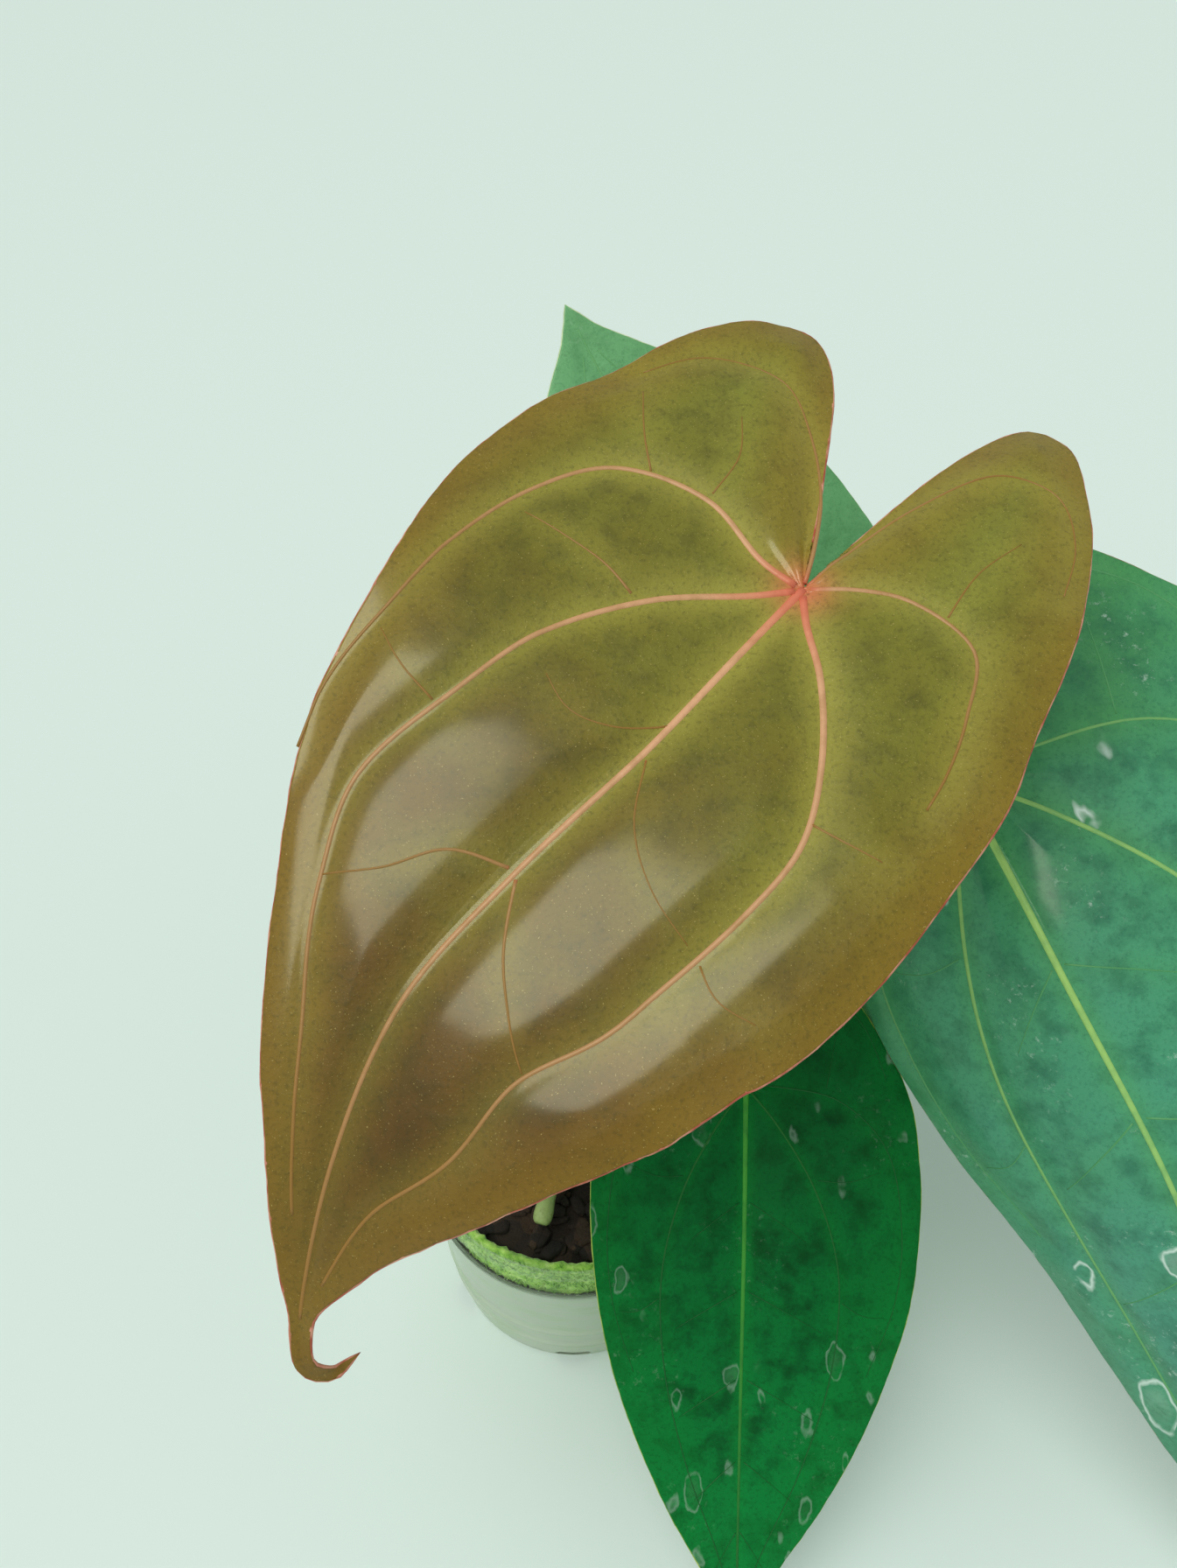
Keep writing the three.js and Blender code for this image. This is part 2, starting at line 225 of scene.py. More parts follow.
# A vein is its strength, then points of [across, along] as shares of the leaf's length.
newVeins = [
    (1.0, [[0, -0.01], [-0.004, 0.12], [-0.012, 0.28], [-0.016, 0.42], [-0.008, 0.58], [-0.002, 0.75],
           [0, 0.9]]),
    (0.85, [[0, 0], [-0.03, 0.03], [-0.08, 0.07], [-0.14, 0.14], [-0.18, 0.21], [-0.19, 0.28],
            [-0.19, 0.38], [-0.18, 0.47], [-0.14, 0.58], [-0.11, 0.69], [-0.05, 0.77], [-0.015, 0.86]]),
    (0.65, [[0, 0], [-0.04, -0.035], [-0.09, -0.06], [-0.17, -0.055], [-0.21, 0.01], [-0.232, 0.07],
            [-0.242, 0.12]]),
    (0.4, [[0, 0], [-0.005, -0.07], [-0.02, -0.16], [-0.06, -0.26], [-0.12, -0.275], [-0.17, -0.23],
            [-0.2, -0.16]]),
    (0.85, [[0, 0], [0.03, 0.04], [0.1, 0.12], [0.15, 0.23], [0.158, 0.35], [0.16, 0.45], [0.12, 0.53],
            [0.07, 0.62], [0.045, 0.7], [0.02, 0.8]]),
    (0.8, [[0, 0], [0.05, 0.005], [0.14, -0.01], [0.24, 0.03], [0.28, 0.11], [0.29, 0.23], [0.27, 0.34],
           [0.255, 0.4], [0.22, 0.47]]),
    (0.42, [[0, 0], [0.02, -0.04], [0.06, -0.1], [0.12, -0.155], [0.19, -0.19], [0.27, -0.155],
            [0.31, -0.08]]),
    (0.4, [[-0.016, 0.41], [-0.06, 0.475], [-0.1, 0.52], [-0.145, 0.575]]),
    (0.4, [[-0.016, 0.41], [0.045, 0.44], [0.08, 0.49], [0.13, 0.53]]),
    (0.32, [[0.11, 0.13], [0.16, 0.125], [0.21, 0.13], [0.27, 0.14]]),
    (0.25, [[-0.165, 0.19], [-0.2, 0.185], [-0.25, 0.175]]),
    (0.25, [[0.2, 0.01], [0.24, -0.02], [0.29, -0.07]]),
    (0.25, [[0.155, 0.36], [0.21, 0.36], [0.265, 0.35]]),
    (0.2, [[-0.19, 0.34], [-0.23, 0.355], [-0.275, 0.34]]),
    (0.2, [[-0.012, 0.2], [0.03, 0.25], [0.07, 0.27], [0.12, 0.26]]),
    (0.2, [[-0.012, 0.24], [-0.06, 0.3], [-0.12, 0.33], [-0.185, 0.34]]),
    (0.2, [[0.14, -0.01], [0.15, -0.07], [0.19, -0.12]]),
    (0.2, [[-0.13, -0.06], [-0.12, -0.13], [-0.13, -0.2]]),
]


def matureVeins(bold):
    veins = [(1.0, [[0, -0.01], [0, 0.3], [0, 0.6], [0, 0.97]])]
    crossing = ((0.14, 0.16, 0.3, 0.14), (0.2, 0.37, 0.31, 0.4), (0.17, 0.01, 0.2, -0.14))
    for s in (1, -1):
        veins += [
            (0.7 * bold, [[0, 0], [0.07 * s, 0.07], [0.15 * s, 0.18], [0.2 * s, 0.32], [0.19 * s, 0.5],
                          [0.13 * s, 0.68], [0.06 * s, 0.82], [0.01 * s, 0.93]]),
            (0.5 * bold, [[0, 0], [0.08 * s, 0.0], [0.2 * s, 0.02], [0.3 * s, 0.1], [0.335 * s, 0.24],
                          [0.32 * s, 0.38], [0.26 * s, 0.52]]),
            (0.45 * bold, [[0, 0], [0.03 * s, -0.07], [0.08 * s, -0.15], [0.16 * s, -0.18],
                           [0.25 * s, -0.12], [0.31 * s, -0.01]]),
        ]
        for along, reach in ((0.2, 0.14), (0.36, 0.18), (0.52, 0.165), (0.67, 0.12), (0.8, 0.06)):
            route = [[0, along], [0.5 * reach * s, along + 0.035], [reach * s, along + 0.075]]
            veins.append((0.25 * bold, route))
        for x0, y0, x1, y1 in crossing:
            route = [[x0 * s, y0], [(x0 + x1) / 2 * s, (y0 + y1) / 2 + 0.012], [x1 * s, y1]]
            veins.append((0.2 * bold, route))
    return veins


# Points of a midrib and a stalk are in mm from the crown.
leaves = {
    "new": {
        "midrib": [[45, 0, 169], [16, -26, 155], [-11, -46, 141], [-29, -63, 126], [-40, -82, 105],
                   [-46, -99, 78], [-45, -102, 73], [-41, -101.5, 69.5], [-37, -98.5, 70]],
        "face": [[-0.15, -0.55, 0.82], [-0.15, -0.75, 0.64]],
        "halves": ["newBroad", "newNarrow"], "widths": [1, 1], "fold": 0.1, "arch": -0.17, "lobeDroop": 0.3,
        "stalk": [[-9, -4, 40], [-11, -2, 85], [2, 0, 130], [30, 3, 157]], "foot": 180,
        "columns": 400, "rows": 112, "veins": newVeins, "veinWidth": 1.1, "haloWidth": 4.6,
        "bulge": 1.3, "wave": 0.55, "ragged": 0.3, "rimWidth": 0.36,
    },
    "right": {
        "midrib": [[88, 9, 115], [106, -29, 91], [129, -61, 57], [149, -83, 14], [171, -110, -48]],
        "face": [[-0.5, -0.6, 0.63], [-0.45, -0.75, 0.5]],
        "halves": ["short", "short"], "widths": [0.57, 0.9], "fold": -0.3, "arch": -0.5, "lobeDroop": 0,
        "stalk": [[18, -3, 12], [40, -10, 25], [69, 2, 50], [92, 14, 88]], "foot": 0,
        "columns": 320, "rows": 96, "veins": matureVeins(1.0), "veinWidth": 1.05, "haloWidth": 3.4,
        "bulge": 1.5, "wave": 0.8, "ragged": 0.35, "rimWidth": 0.3,
    },
    "front": {
        "midrib": [[43, -21, 42], [42, -45, 21], [41, -73, -12], [40, -109, -57]],
        "face": [[0, -0.3, 0.95], [0, -0.8, 0.5]],
        "halves": ["short", "short"], "widths": [0.74, 0.84], "fold": 0.12, "arch": -0.3, "lobeDroop": 0,
        "stalk": [[6, -8, 10], [20, -12, 22], [38, -14, 30]], "foot": 270,
        "columns": 300, "rows": 90, "veins": matureVeins(0.5), "veinWidth": 0.9, "haloWidth": 2.4,
        "bulge": 0.7, "wave": 0.5, "ragged": 0.25, "rimWidth": 0.28,
    },
    "rear": {
        "midrib": [[66, 30, 48], [48, 75, 86], [24, 110, 136], [-2, 135, 178]],
        "face": [[0.1, -0.6, 0.8], [0, -0.7, 0.7]],
        "halves": ["mature", "inner"], "widths": [0.85, 0.95], "fold": 0.05, "arch": -0.2, "lobeDroop": 0,
        "stalk": [[8, 12, 10], [30, 34, 24], [55, 44, 34]], "foot": 90,
        "columns": 300, "rows": 90, "veins": matureVeins(0.9), "veinWidth": 0.85, "haloWidth": 2.6,
        "bulge": 0.9, "wave": 0.6, "ragged": 0.25, "rimWidth": 0.3,
    },
}
bladeThickness = 0.7


# The curved face of a blade: shares across and along the midrib give points in mm.
class BladeSurface:
    def __init__(self, leaf):
        self.line = smoothLine([[x, y, crown + z] for x, y, z in leaf["midrib"]], 60)
        reach = np.concatenate([[0], np.cumsum(np.linalg.norm(np.diff(self.line, axis=0), axis=1))])
        self.length = reach[-1]
        self.shares = reach / self.length
        self.ahead = unit(np.gradient(self.line, reach, axis=0))
        first, last = np.array(leaf["face"], float)
        up = first * (1 - self.shares[:, None]) + last * self.shares[:, None]
        self.up = unit(up - (up * self.ahead).sum(1)[:, None] * self.ahead)
        self.across = np.cross(self.ahead, self.up)
        self.leaf = leaf

    def pick(self, rows, along):
        return np.stack([np.interp(along, self.shares, column) for column in rows.T], 1)

    def pointAt(self, flat, lift=0.0):
        across, along = flat[:, 0], flat[:, 1]
        leaf = self.leaf
        past = ((along - np.clip(along, 0, 1)) * self.length)[:, None]
        centre = self.pick(self.line, along) + past * self.pick(self.ahead, along)
        up, side = unit(self.pick(self.up, along)), unit(self.pick(self.across, along))
        rise = leaf["fold"] * np.abs(across) + leaf["arch"] * across ** 2
        rise = rise - leaf["lobeDroop"] * np.maximum(-along, 0) ** 2
        return centre + (across * self.length)[:, None] * side + (rise * self.length + lift)[:, None] * up

    def normalAt(self, flat):
        step = 0.004
        dx = self.pointAt(flat + [step, 0]) - self.pointAt(flat - [step, 0])
        dy = self.pointAt(flat + [0, step]) - self.pointAt(flat - [0, step])
        return unit(np.cross(dx, dy))


# Where the rays from the stalk meet the margin, from one side of the sinus round the tip to the other.
def marginOf(leaf, columns):
    sides = []
    for half, side, width in zip(leaf["halves"], (1, -1), leaf["widths"]):
        turn, reach = smoothLine([[math.radians(d), r] for d, r in outlines[half]], 60).T
        x, y = side * width * reach * np.sin(turn), reach * np.cos(turn)
        sides.append(np.stack([x, y], 1))
    first, _ = alongLine(sides[0][::-1], np.linspace(0, 1, columns // 2 + 1))
    second, _ = alongLine(sides[1], np.linspace(0, 1, columns - columns // 2 + 1))
    margin = np.vstack([first, second[1:]])
    run = np.linspace(0, 1, len(margin))
    ripple = np.sin(run * 251) * np.sin(run * 97 + 1) + 0.6 * np.sin(run * 613 + 2) * np.sin(run * 41)
    return margin * (1 + leaf["ragged"] * 0.004 * ripple * np.sin(run * math.pi) ** 0.5)[:, None]


def distanceToLine(points, line):
    start, step = line[:-1], np.diff(line, axis=0)
    best = np.full(len(points), 9.0)
    for a, d in zip(start, step):
        gap = points - a
        t = np.clip(gap @ d / (d @ d + 1e-12), 0, 1)
        best = np.minimum(best, np.hypot(gap[:, 0] - t * d[0], gap[:, 1] - t * d[1]))
    return best


def veinRoutes(leaf):
    for strength, route in leaf["veins"]:
        route = np.array(route, float)
        route[:, 0] *= np.where(route[:, 0] >= 0, leaf["widths"][0], leaf["widths"][1])
        yield strength, route


# What each point of a blade needs: how far the veins and the margin are, and how far it is lifted.
def bladeFields(flat, leaf, length, margin):
    halo = np.zeros(len(flat))
    nearest = np.full(len(flat), 99.0)
    for strength, route in veinRoutes(leaf):
        gap = distanceToLine(flat, smoothLine(route, 5)) * length
        ends = [np.linalg.norm(flat - end, axis=1) for end in (route[0], route[-1])]
        thin = 1 - 0.5 * ends[0] / (ends[0] + ends[1] + 1e-9)
        halo = np.maximum(halo, strength ** 0.7 * thin * np.exp(-(gap / leaf["haloWidth"]) ** 2))
        if strength > 0.4:  # fainter veins lie on the panels and make no valley
            nearest = np.minimum(nearest, gap + 2.0 * (1 - strength))
    edge = distanceToLine(flat, margin[::2]) * length
    panel = np.clip((nearest - 1.3) / 9.5, 0, 1)
    turn = np.arctan2(flat[:, 0], flat[:, 1])
    wave = np.clip(1 - edge / 14.0, 0, 1) ** 2 * (np.sin(turn * 9 + 1.3) + 0.6 * np.sin(turn * 17 + 0.4))
    dome = np.sin(panel * math.pi / 2) ** 0.9 * np.clip(edge / 7.0, 0, 1)
    lift = leaf["bulge"] * dome + leaf["wave"] * wave
    collar = np.exp(-(np.linalg.norm(flat, axis=1) * length / 5.5) ** 2)
    return {"halo": halo, "collar": collar, "edge": edge, "across": flat[:, 0], "along": flat[:, 1]}, lift


def growBlade(name, leaf, top, under):
    surface = BladeSurface(leaf)
    margin = marginOf(leaf, leaf["columns"])
    mesh = bmesh.new()
    bmesh.ops.create_grid(mesh, x_segments=leaf["columns"], y_segments=leaf["rows"], size=0.5)
    shares = np.array([v.co[:2] for v in mesh.verts]) + 0.5
    column = np.round(shares[:, 0] * leaf["columns"]).astype(int)
    # Rings crowd together in the last part, where the margin needs them.
    body, rest = 0.92, 0.975
    t = shares[:, 1]
    ring = np.where(t < body, t / body * rest, rest + (t - body) / (1 - body) * (1 - rest))
    flat = margin[column] * ring[:, None]
    fields, lift = bladeFields(flat, leaf, surface.length, margin)
    co = surface.pointAt(flat, lift) * mm
    data = bpy.data.meshes.new("blade" + name)
    mesh.to_mesh(data)
    mesh.free()
    data.vertices.foreach_set("co", co.ravel())
    for key, values in fields.items():
        data.attributes.new(key, "FLOAT", "POINT").data.foreach_set("value", values.astype(np.float32))
    mesh = bmesh.new()
    mesh.from_mesh(data)
    bmesh.ops.remove_doubles(mesh, verts=mesh.verts, dist=1e-6)
    obj = newObject(mesh, "leafBlade" + name.capitalize(), top, under)
    skin = obj.modifiers.new("thickness", "SOLIDIFY")
    skin.thickness = bladeThickness * mm
    skin.offset = 0
    skin.material_offset = 1
    return obj, surface, margin


# The veins stand a little proud of the face and more under it; the rim is a thin cord round the margin.
def growVeins(name, leaf, surface, margin, veinSkin, rimSkin):
    half = bladeThickness / 2
    mesh, layers = barMesh()
    strengthLayer = mesh.verts.layers.float.new("strength")
    for strength, route in veinRoutes(leaf):
        line = smoothLine(route, 16)
        _, share = alongLine(line, [0, 1])
        count = max(12, int(share * surface.length / 1.6))
        run = np.linspace(0, 1, count + 1)
        flat, _ = alongLine(line, run)
        _, lift = bladeFields(flat, leaf, surface.length, margin)
        rows = surface.pointAt(flat, lift)
        up = surface.normalAt(flat)
        side = unit(np.cross(unit(np.gradient(rows, axis=0)), up))
        width = leaf["veinWidth"] * (0.1 + 0.9 * strength) * (1 - 0.6 * run ** 0.7)
        width[0] = width[-1] = 0
        rows[0], rows[-1] = rows[1], rows[-2]
        rise = np.where(width > 0, half + 0.12 + 0.22 * width, 0)
        drop = np.where(width > 0, half + 0.5 * width, 0)
        for vert in addBar(mesh, layers, rows, side, up, width, rise, drop):
            vert[strengthLayer] = strength
    bmesh.ops.remove_doubles(mesh, verts=mesh.verts, dist=1e-7)
    veins = newObject(mesh, "leafVeins" + name.capitalize(), veinSkin)

    _, lift = bladeFields(margin, leaf, surface.length, margin)
    rows = surface.pointAt(margin, lift)
    up = surface.normalAt(margin)
    side = unit(np.cross(unit(np.gradient(rows, axis=0)), up))
    run = np.arange(len(rows))
    width = leaf["rimWidth"] * (1 + 0.1 * np.sin(run * 0.9) + 0.06 * np.sin(run * 2.3))
    width[0] = width[-1] = 0
    rows[0], rows[-1] = rows[1], rows[-2]
    mesh, layers = barMesh()
    addBar(mesh, layers, rows, side, up, width, width, width, 6)
    bmesh.ops.remove_doubles(mesh, verts=mesh.verts, dist=1e-7)
    return veins, newObject(mesh, "leafRim" + name.capitalize(), rimSkin)


# Rings and films that dried water drops leave, drawn out down the leaf.
def waterMarks(add, coords, across, along):
    wide = add("Math", [across, 0.17], operation="MULTIPLY")
    tall = add("Math", [along, 0.09], operation="MULTIPLY")
    spot = add("CombineXYZ", [wide, tall])
    shake = add("TexNoise", {"Vector": spot, "Scale": 170, "Detail": 3}, "Color")
    shaken = add("VectorMath", [shake, (0.0058, 0.0058, 0), spot], operation="MULTIPLY_ADD")
    drops = {"Vector": shaken, "Scale": 1 / (8.5 * mm)}
    gap = add("TexVoronoi", drops, "Distance")
    chosen = add("SeparateXYZ", [add("TexVoronoi", drops, "Color")])
    radius = add("MapRange", [chosen, 0.35, 1, 0.05, 0.34])
    away = add("Math", [add("Math", [gap, radius], operation="SUBTRACT")], operation="ABSOLUTE")
    ring = add("Math", [add("MapRange", [away, 0, 0.05, 1, 0]), add("MapRange", [chosen, 0.38, 0.4])],
               operation="MULTIPLY")
    film = add("Math", [add("MapRange", [gap, 0.1, 0.3, 0.22, 0]), add("MapRange", [chosen, 0.7, 0.72])],
               operation="MULTIPLY")
    breaks = add("TexNoise", {"Vector": coords, "Scale": 1 / (6 * mm), "Detail": 2})
    marks = add("Math", [ring, film], operation="MAXIMUM")
    marks = add("Math", [marks, add("MapRange", [breaks, 0.32, 0.46])], operation="MULTIPLY")
    crumbs = add("TexNoise", {"Vector": coords, "Scale": 1 / (2.2 * mm), "Detail": 5, "Roughness": 0.75})
    patches = add("TexNoise", {"Vector": coords, "Scale": 1 / (20 * mm), "Detail": 2})
    chalk = add("MapRange", [crumbs, 0.58, 0.7, 0, 0.5])
    chalk = add("Math", [chalk, add("MapRange", [patches, 0.52, 0.62])], operation="MULTIPLY")
    return add("Math", [marks, chalk], operation="MAXIMUM")


# Velvety skin of a leaf: fine hairs scatter the light, with a faint sheen; its tiny glints are painted
# highlights, pale flecks mixed into the colour.
def leafMaterial(name, look):
    material, add, finish = newMaterial("leafVelvet" + name.capitalize())
    coords = add("TexCoord", out="Object")
    halo, edge, across, along = (add("Attribute", out="Fac", attribute_name=key)
                                 for key in ("halo", "edge", "across", "along"))
    # The body's colour drifts from the stalk to the tip, under blotches of about 7 mm.
    cloud = add("TexNoise", {"Vector": coords, "Scale": 1 / (22 * mm), "Detail": 3})
    drift = add("Math", [along, add("Math", [cloud, 0.5], operation="MULTIPLY")])
    color = add("ValToRGB", [add("MapRange", [drift, 0.1, 1.15])], colors=look["body"])
    blotch = add("TexNoise", {"Vector": coords, "Scale": 1 / (7 * mm), "Detail": 4, "Roughness": 0.62})
    share = add("MapRange", [blotch, 0.45, 0.68, 0, look["blotch"]])
    color = add("Mix", {0: share, 6: color, 7: look["dark"]}, 2, data_type="RGBA")
    # The margin has its own tint, 7 to 24 mm wide.
    inwards = add("Math", [edge, add("Math", [cloud, 12], operation="MULTIPLY")])
    share = add("MapRange", [inwards, 7, 24, look["edgeShare"], 0])
    color = add("Mix", {0: share, 6: color, 7: look["edgeBody"]}, 2, data_type="RGBA")
    # A pale band lies along each vein and fades towards the tip.
    fade = add("MapRange", [along, 0.05, 0.85, look["haloShare"], look["haloShare"] * look["haloEnd"]])
    share = add("Math", [halo, fade], operation="MULTIPLY")
    color = add("Mix", {0: share, 6: color, 7: look["halo"]}, 2, data_type="RGBA")
    if look["collar"]:
        collar = add("Attribute", out="Fac", attribute_name="collar")
        share = add("Math", [collar, 0.8], operation="MULTIPLY")
        color = add("Mix", {0: share, 6: color, 7: look["collar"]}, 2, data_type="RGBA")
    # Cells of the skin, about 1 mm, give the velvet its grain.
    grain = add("TexNoise", {"Vector": coords, "Scale": 1 / (0.9 * mm), "Detail": 3, "Roughness": 0.7})
    share = add("MapRange", [grain, 0.5, 0.72, 0, 0.4])
    color = add("Mix", {0: share, 6: color, 7: look["dark"]}, 2, data_type="RGBA")
    # Painted highlights: pale flecks mixed into the colour stand in for glints off the hairs.
    if look["paintedGlintShare"]:
        paintedGlintNoise = add("TexNoise", {"Vector": coords, "Scale": 1 / (0.32 * mm), "Detail": 1})
        share = add("MapRange", [paintedGlintNoise, 0.69, 0.78, 0, look["paintedGlintShare"]])
        color = add("Mix", {0: share, 6: color, 7: look["paintedGlintColor"]}, 2, data_type="RGBA")
    if look["stain"]:
        share = add("Math", [waterMarks(add, coords, across, along), look["stain"]], operation="MULTIPLY")
        color = add("Mix", {0: share, 6: color, 7: "#cfe2d6"}, 2, data_type="RGBA")
    pores = add("Bump", {"Strength": 0.35, "Distance": 0.4 * mm, "Height": grain})
    dimples = add("TexNoise", {"Vector": coords, "Scale": 1 / (3.5 * mm), "Detail": 3})
    relief = add("Bump", {"Strength": 0.3, "Distance": 0.8 * mm, "Height": dimples, "Normal": pores})
    finish({"Base Color": color, "Normal": relief,
            "Roughness": add("MapRange", [cloud, 0.3, 0.7, look["rough"] - 0.05, look["rough"] + 0.06]),
            "Specular IOR Level": look["specular"], "Coat Weight": look["coat"],
            "Coat Roughness": look["coatRough"], "Sheen Weight": look["sheen"], "Sheen Roughness": 0.4,
            "Sheen Tint": look["sheenTint"]})
    return material


# The underside is smoother and paler.
def undersideMaterial(name, look):
    material, add, finish = newMaterial("leafUnderside" + name.capitalize())
    coords = add("TexCoord", out="Object")
    blotch = add("TexNoise", {"Vector": coords, "Scale": 1 / (8 * mm), "Detail": 4})
    share = add("MapRange", [blotch, 0.4, 0.7])
    color = add("Mix", {0: share, 6: look["under"], 7: look["underDark"]}, 2, data_type="RGBA")
    halo = add("Attribute", out="Fac", attribute_name="halo")
    share = add("Math", [halo, 0.4], operation="MULTIPLY")
    color = add("Mix", {0: share, 6: color, 7: look["halo"]}, 2, data_type="RGBA")
    pores = add("TexNoise", {"Vector": coords, "Scale": 1 / (1.6 * mm), "Detail": 3})
    finish({"Base Color": color, "Roughness": 0.5, "Specular IOR Level": 0.35,
            "Normal": add("Bump", {"Strength": 0.4, "Distance": 0.4 * mm, "Height": pores})})
    return material


# Vein skin is smooth and slightly waxy; it fades into the blade towards its ends.
def veinMaterial(name, look):
    material, add, finish = newMaterial("leafVein" + name.capitalize())
    coords = add("TexCoord", out="Object")
    run, crest, strength = (add("Attribute", out="Fac", attribute_name=key)
                            for key in ("run", "crest", "strength"))
    fade = add("Math", [strength, add("MapRange", [run, 0.05, 1, 1, 0.2])], operation="MULTIPLY")
    share = add("MapRange", [fade, 0.22, 0.85])
    color = add("Mix", {0: share, 6: look["veinEnd"], 7: look["vein"]}, 2, data_type="RGBA")
    blotch = add("TexNoise", {"Vector": coords, "Scale": 1 / (4 * mm), "Detail": 3})
    share = add("MapRange", [blotch, 0.45, 0.75, 0, 0.45])
    color = add("Mix", {0: share, 6: color, 7: look["veinEnd"]}, 2, data_type="RGBA")
    if look["collar"]:
        reach = add("Math", [run, add("MapRange", [strength, 0.5, 0.9, 2, 1])], operation="MULTIPLY")
        share = add("MapRange", [reach, 0, 0.13, 1, 0])
        color = add("Mix", {0: share, 6: color, 7: look["collar"]}, 2, data_type="RGBA")
    share = add("MapRange", [crest, -0.3, 0.1, 0.6, 0])  # paler under the blade
    color = add("Mix", {0: share, 6: color, 7: look["under"]}, 2, data_type="RGBA")
    pores = add("TexNoise", {"Vector": coords, "Scale": 1 / (1.2 * mm), "Detail": 3})
    finish({"Base Color": color, "Roughness": 0.42, "Specular IOR Level": 0.35,
            "Normal": add("Bump", {"Strength": 0.35, "Distance": 0.3 * mm, "Height": pores})})
    return material


# The rim is a firm, slightly shiny cord of leaf edge.
def rimMaterial(name, look):
    material, add, finish = newMaterial("leafRimSkin" + name.capitalize())
    coords = add("TexCoord", out="Object")
    blotch = add("TexNoise", {"Vector": coords, "Scale": 1 / (4 * mm), "Detail": 3})
    share = add("MapRange", [blotch, 0.42, 0.6])
    color = add("Mix", {0: share, 6: look["rim"], 7: look["rimLight"]}, 2, data_type="RGBA")
    finish({"Base Color": color, "Roughness": 0.4, "Specular IOR Level": 0.4})
    return material


# Each look also sets the share and colour of the painted glints, pale flecks that stand in for highlights.
looks = {
    "new": {
        "body": ["#808028", "#726a16", "#684a0a", "#503206"], "dark": "#363406", "blotch": 0.42,
        "edgeBody": "#8c6b16", "edgeShare": 0.65, "halo": "#aea544", "haloShare": 0.75, "haloEnd": 0.2,
        "vein": "#e2aa80", "veinEnd": "#9a7032", "collar": "#dd6a50", "rim": "#b0503a",
        "rimLight": "#d8957c", "paintedGlintShare": 0.5, "paintedGlintColor": "#cdb66c", "stain": 0, "under": "#7b8440",
        "underDark": "#5f6a30", "rough": 0.55, "specular": 0.2, "coat": 0.38, "coatRough": 0.15,
        "sheen": 0.03, "sheenTint": "#e8dcb0",
    },
    "right": {
        "body": ["#428c54", "#489a70", "#4a9a7c", "#409080"], "dark": "#1a6048", "blotch": 0.6,
        "edgeBody": "#4a9654", "edgeShare": 0.4, "halo": "#58a862", "haloShare": 0.6, "haloEnd": 0.6,
        "vein": "#aad474", "veinEnd": "#569e64", "collar": "", "rim": "#8a6238",
        "rimLight": "#dccaa0", "paintedGlintShare": 0.15, "paintedGlintColor": "#9cc9a0", "stain": 1.0, "under": "#7ba676",
        "underDark": "#66925f", "rough": 0.5, "specular": 0.2, "coat": 0.3, "coatRough": 0.16,
        "sheen": 0.08, "sheenTint": "#d6f2e2",
    },
    "front": {
        "body": ["#035a26", "#046a2e", "#067634", "#08803a"], "dark": "#013614", "blotch": 0.7,
        "edgeBody": "#067a2c", "edgeShare": 0.4, "halo": "#0c8834", "haloShare": 0.6, "haloEnd": 0.8,
        "vein": "#46a434", "veinEnd": "#076024", "collar": "", "rim": "#7aa030",
        "rimLight": "#b4c850", "paintedGlintShare": 0, "paintedGlintColor": "#6ca877", "stain": 0.22, "under": "#5f9158",
        "underDark": "#4c7c48", "rough": 0.45, "specular": 0.08, "coat": 0.05, "coatRough": 0.2,
        "sheen": 0.0, "sheenTint": "#cfe8d4",
    },
    "rear": {
        "body": ["#5a965e", "#62a066", "#6aaa70", "#72b278"], "dark": "#3c7848", "blotch": 0.4,
        "edgeBody": "#66a268", "edgeShare": 0.3, "halo": "#74ae72", "haloShare": 0.5, "haloEnd": 0.8,
        "vein": "#a8cc8a", "veinEnd": "#6cab6c", "collar": "", "rim": "#b6cc98",
        "rimLight": "#d8e4b8", "paintedGlintShare": 0.1, "paintedGlintColor": "#b8d8b8", "stain": 0.25, "under": "#8db48a",
        "underDark": "#76a275", "rough": 0.5, "specular": 0.2, "coat": 0.2, "coatRough": 0.16,
        "sheen": 0.08, "sheenTint": "#e0f4e8",
    },
}

surfaces = {}
for name, leaf in leaves.items():
    look = looks[name]
    top, under = leafMaterial(name, look), undersideMaterial(name, look)
    blade, surfaces[name], margin = growBlade(name, leaf, top, under)
    veinSkin, rimSkin = veinMaterial(name, look), rimMaterial(name, look)
    veins, rim = growVeins(name, leaf, surfaces[name], margin, veinSkin, rimSkin)
    for obj in (blade, veins, rim):
        place(obj, "blade_" + name)
    print("leaf", name, "has", len(blade.data.polygons), "faces")


# Leaf stalks: smooth green skin, redder at the joint under the blade.
stalkSizes = {"radius": 1.9, "circle": 4.3, "jointSwell": 0.6, "foot": -1.0}


def stalkMaterial():
    material, add, finish = newMaterial("leafStalkSkin")
    coords = add("TexCoord", out="Object")
    run = add("Attribute", out="Fac", attribute_name="run")
    color = add("ValToRGB", [run], colors=["#7d8a4a", "#6f8a3e", "#748a40", "#8a8446", "#b8764c"])
    specks = add("TexNoise", {"Vector": coords, "Scale": 1 / (0.9 * mm), "Detail": 3, "Roughness": 0.7})
    share = add("MapRange", [specks, 0.58, 0.7, 0, 0.5])
    color = add("Mix", {0: share, 6: color, 7: "#4f6a2c"}, 2, data_type="RGBA")
    pores = add("TexNoise", {"Vector": coords, "Scale": 1 / (1.2 * mm), "Detail": 3})
    finish({"Base Color": color, "Roughness": 0.42,
            "Normal": add("Bump", {"Strength": 0.4, "Distance": 0.3 * mm, "Height": pores})})
    return material


